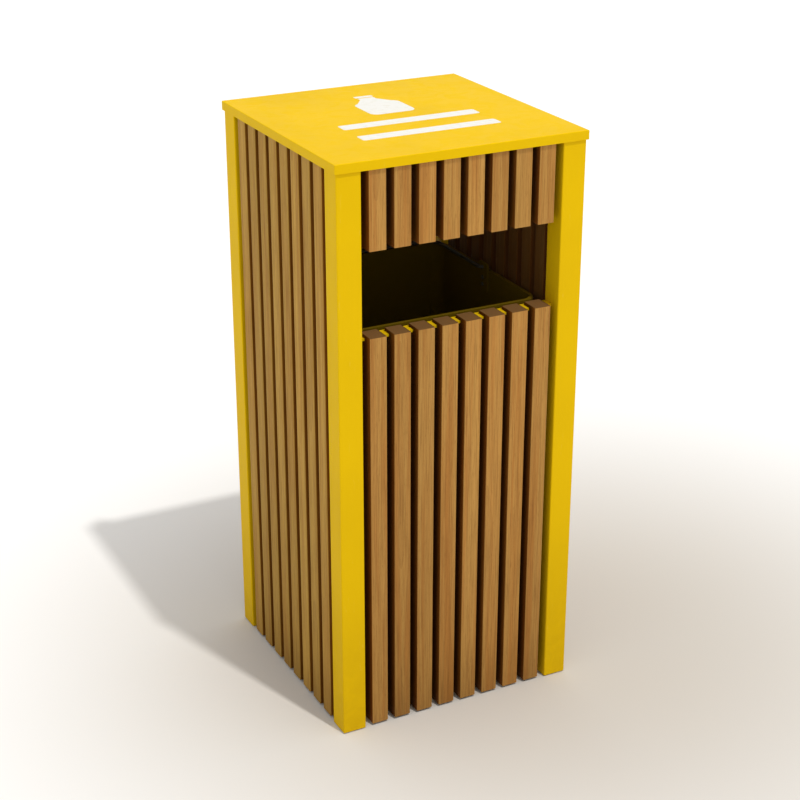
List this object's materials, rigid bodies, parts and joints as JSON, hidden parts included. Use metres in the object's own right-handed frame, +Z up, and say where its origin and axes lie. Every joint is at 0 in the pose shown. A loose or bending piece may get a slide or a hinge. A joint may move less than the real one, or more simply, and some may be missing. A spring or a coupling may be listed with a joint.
{
  "type": "slatted litter bin",
  "caption": "Square street litter bin in yellow steel and oiled wood slats, with a front throw opening, a rear-hinged locking lid and a lift-out liner with a bail handle.",
  "frame": {"origin": "on the floor midway between the four feet, under the middle of the square bin; the base plate's ground-anchor pattern is centred 2 mm above it", "axes": "+Z up towards the lid; -Y towards the front with the throw opening; +X to the right as seen from the front"},
  "size_m": [0.426, 0.4506, 0.9543],
  "materials": {
    "yellow_coated_steel": "satin",
    "oiled_wood": "satin",
    "black_plastic": "matte",
    "stainless_fixings": "brushed",
    "plated_lock_metal": "satin",
    "yellow_coated_liner": "satin",
    "plated_wire": "brushed",
    "white_film": "matte"
  },
  "bodies": {
    "housing": {"post_front_left": "yellow_coated_steel", "post_front_right": "yellow_coated_steel", "post_rear_left": "yellow_coated_steel", "post_rear_right": "yellow_coated_steel", "front_bottom_rail": "yellow_coated_steel", "front_sill_rail": "yellow_coated_steel", "front_header_rail": "yellow_coated_steel", "front_top_rail": "yellow_coated_steel", "left_rails": "yellow_coated_steel", "right_rails": "yellow_coated_steel", "rear_rails": "yellow_coated_steel", "base_plate": "yellow_coated_steel", "front_slat_1": "oiled_wood", "front_slat_2": "oiled_wood", "front_slat_3": "oiled_wood", "front_slat_4": "oiled_wood", "front_slat_5": "oiled_wood", "front_slat_6": "oiled_wood", "front_slat_7": "oiled_wood", "front_slat_8": "oiled_wood", "upper_slats": "oiled_wood", "left_slat_1": "oiled_wood", "left_slat_2": "oiled_wood", "left_slat_3": "oiled_wood", "left_slat_4": "oiled_wood", "left_slat_5": "oiled_wood", "left_slat_6": "oiled_wood", "left_slat_7": "oiled_wood", "left_slat_8": "oiled_wood", "right_slat_1": "oiled_wood", "right_slat_2": "oiled_wood", "right_slat_3": "oiled_wood", "right_slat_4": "oiled_wood", "right_slat_5": "oiled_wood", "right_slat_6": "oiled_wood", "right_slat_7": "oiled_wood", "right_slat_8": "oiled_wood", "rear_slats": "oiled_wood", "slat_screws": "stainless_fixings", "post_feet": "black_plastic", "post_caps": "black_plastic", "hinge_left_fixed_leaf": "yellow_coated_steel", "hinge_right_fixed_leaf": "yellow_coated_steel", "hinge_pins": "stainless_fixings", "hinge_bolts": "stainless_fixings", "lock_barrel": "plated_lock_metal", "lock_nut": "plated_lock_metal"},
    "lid": {"lid": "yellow_coated_steel", "lid_sign": "white_film", "lid_keeper": "yellow_coated_steel", "hinge_left_moving_leaf": "yellow_coated_steel", "hinge_right_moving_leaf": "yellow_coated_steel"},
    "lock": {"lock_spindle": "plated_lock_metal", "lock_cam": "plated_lock_metal", "lock_cam_screw": "stainless_fixings"},
    "liner": {"liner": "yellow_coated_liner", "liner_ears": "yellow_coated_liner", "ear_rivets": "stainless_fixings"},
    "bail": {"liner_bail": "plated_wire"}
  },
  "joints": [
    {"name": "lid_hinge", "type": "hinge", "parent": "housing", "child": "lid", "pos_m": [0, 0.218, 0.9336], "axis": [-1, 0, 0], "range_deg": [0, 100]},
    {"name": "lock_turn", "type": "hinge", "parent": "housing", "child": "lock", "pos_m": [0, -0.16, 0.9337], "axis": [0, 1, 0], "range_deg": [0, 90]},
    {"name": "liner_lift", "type": "slide", "parent": "housing", "child": "liner", "axis": [0, 0, 1], "range_m": [0, 0.22]},
    {"name": "bail_swing", "type": "hinge", "parent": "liner", "child": "bail", "pos_m": [0, 0, 0.6803], "axis": [1, 0, 0], "range_deg": [0, 180]}
  ]
}
